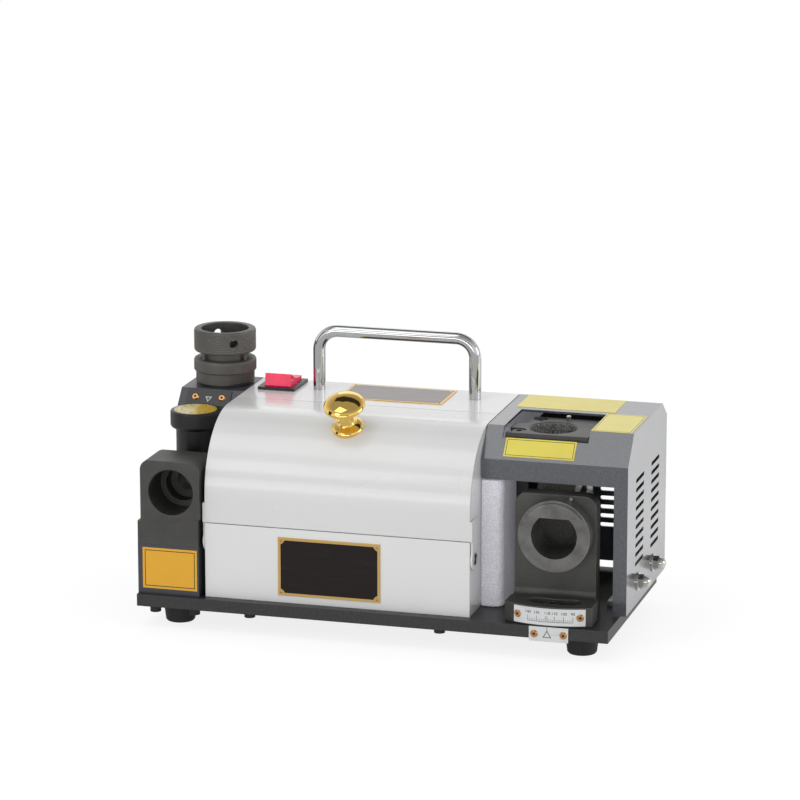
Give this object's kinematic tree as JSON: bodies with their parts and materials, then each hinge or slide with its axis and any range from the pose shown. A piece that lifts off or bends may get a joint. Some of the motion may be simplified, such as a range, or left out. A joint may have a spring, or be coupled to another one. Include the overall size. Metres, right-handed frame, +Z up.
{
  "type": "drill bit sharpener",
  "caption": "Bench drill bit sharpener: hooded middle body, swivelling point-angle bracket and conical wheel in a vented bay, length-setting block with dial, collet chuck in its store",
  "frame": {"origin": "middle of the machine's bounding box, on the floor under the rubber feet", "axes": "+Z up, front with the bracket and the setting bore towards -Y, grinding bay towards +X, machine long along X"},
  "size_m": [0.3286, 0.153, 0.1838],
  "materials": {
    "white_paint": "smooth gloss stove enamel",
    "dark_paint": "fine textured satin enamel",
    "blue_grey_paint": "satin enamel",
    "black_rubber": "moulded",
    "zinc_steel": "zinc plated",
    "nickel": "nickel plated",
    "chrome": "bright chrome",
    "polished_brass": "polished and lacquered",
    "black_plastic": "fine grain",
    "red_plastic": "translucent gloss",
    "brass_plate": "etched plate, black field and brass border",
    "yellow_label": "vinyl film",
    "motor_paint": "satin enamel",
    "ground_steel": "ground",
    "rotor_steel": "laminated core",
    "abrasive": "plated grit",
    "grey_foam": "open-cell foam",
    "black_oxide": "machined and black oxide finished",
    "white_plate": "white printed scale plate",
    "copper": "copper plated eyelet",
    "black_plate": "black anodised"
  },
  "bodies": {
    "frame": {"base_plate": "dark_paint", "rubber_feet": "black_rubber", "base_screws": "zinc_steel", "body_shell": "white_paint", "hood_pivot_screws": "nickel", "handle": "chrome", "handle_nuts": "zinc_steel", "switch_bezel": "black_plastic", "name_plates": "brass_plate", "labels": "yellow_label", "motor_body": "motor_paint", "motor_bells": "motor_paint", "motor_bearings": "ground_steel", "motor_cradle": "motor_paint", "collet_rack": "zinc_steel", "collets": "ground_steel", "foam_seal": "grey_foam", "bay_cover": "dark_paint", "cover_bracket": "zinc_steel", "cover_studs": "zinc_steel", "acorn_nuts": "nickel", "frame_plate": "black_oxide", "chisel_plate": "black_oxide", "chisel_pin": "nickel", "cap_screws": "zinc_steel", "bracket_pivot": "black_oxide", "bracket_clamp": "black_oxide", "pointer_plate": "white_plate", "plate_rivets": "copper", "left_housing": "blue_grey_paint", "set_block_lower": "black_oxide", "set_block_upper": "black_oxide", "dial_sleeve": "black_plastic", "index_plate": "black_plate", "chuck_socket": "black_plastic", "mains_inlet": "black_plastic", "inlet_pins": "polished_brass"},
    "hood": {"hood": "white_paint", "hood_knob": "polished_brass", "knob_nut": "zinc_steel"},
    "rocker": {"switch_rocker": "red_plastic"},
    "dial": {"dial_cam": "ground_steel", "dial_knob": "black_plastic", "dial_disc": "yellow_label"},
    "stop": {"stop_plunger": "ground_steel"},
    "bracket": {"point_bracket": "black_oxide", "bracket_bush": "ground_steel", "bush_pin": "nickel", "protractor_plate": "white_plate", "bracket_rivets": "copper"},
    "spindle": {"motor_shaft": "ground_steel", "motor_rotor": "rotor_steel", "wheel_core": "ground_steel", "abrasive_rim": "abrasive", "wheel_nut": "ground_steel"},
    "chuck": {"chuck_body": "black_oxide", "chuck_collar": "black_oxide", "chuck_pins": "nickel", "chuck_collet": "ground_steel"},
    "chuck_nut": {"chuck_nut": "black_oxide"}
  },
  "joints": [
    {"name": "hood_hinge", "type": "hinge", "parent": "frame", "child": "hood", "pos_m": [-0.0304, -0.0607, 0.059], "axis": [1, 0, 0], "range_deg": [0, 100]},
    {"name": "rocker_hinge", "type": "hinge", "parent": "frame", "child": "rocker", "pos_m": [-0.09975, 0.0406, 0.14], "axis": [1, 0, 0], "range_deg": [0, 28]},
    {"name": "dial_turn", "type": "hinge", "parent": "frame", "child": "dial", "pos_m": [-0.14425, -0.0102, 0.126], "axis": [0, 0, 1], "range_deg": [-150, 150]},
    {"name": "stop_slide", "type": "slide", "parent": "frame", "child": "stop", "axis": [0, 1, 0], "range_m": [-0.00255, 0.00255]},
    {"name": "bracket_swivel", "type": "hinge", "parent": "frame", "child": "bracket", "pos_m": [0.11125, -0.0082, 0.029], "axis": [0, 0, 1], "range_deg": [-14, 11]},
    {"name": "spindle_turn", "type": "hinge", "parent": "frame", "child": "spindle", "pos_m": [-0.00675, 0.0218, 0.0768], "axis": [1, 0, 0], "continuous": true},
    {"name": "chuck_lift", "type": "slide", "parent": "frame", "child": "chuck", "axis": [0, 0, 1], "range_m": [0, 0.045]},
    {"name": "chuck_nut_turn", "type": "hinge", "parent": "chuck", "child": "chuck_nut", "pos_m": [-0.14015, 0.0408, 0.169], "axis": [0, 0, 1], "continuous": true}
  ],
  "couplings": [
    {"joint": "stop_slide", "follows": "dial_turn", "m_per_rad": 0.00095493}
  ]
}
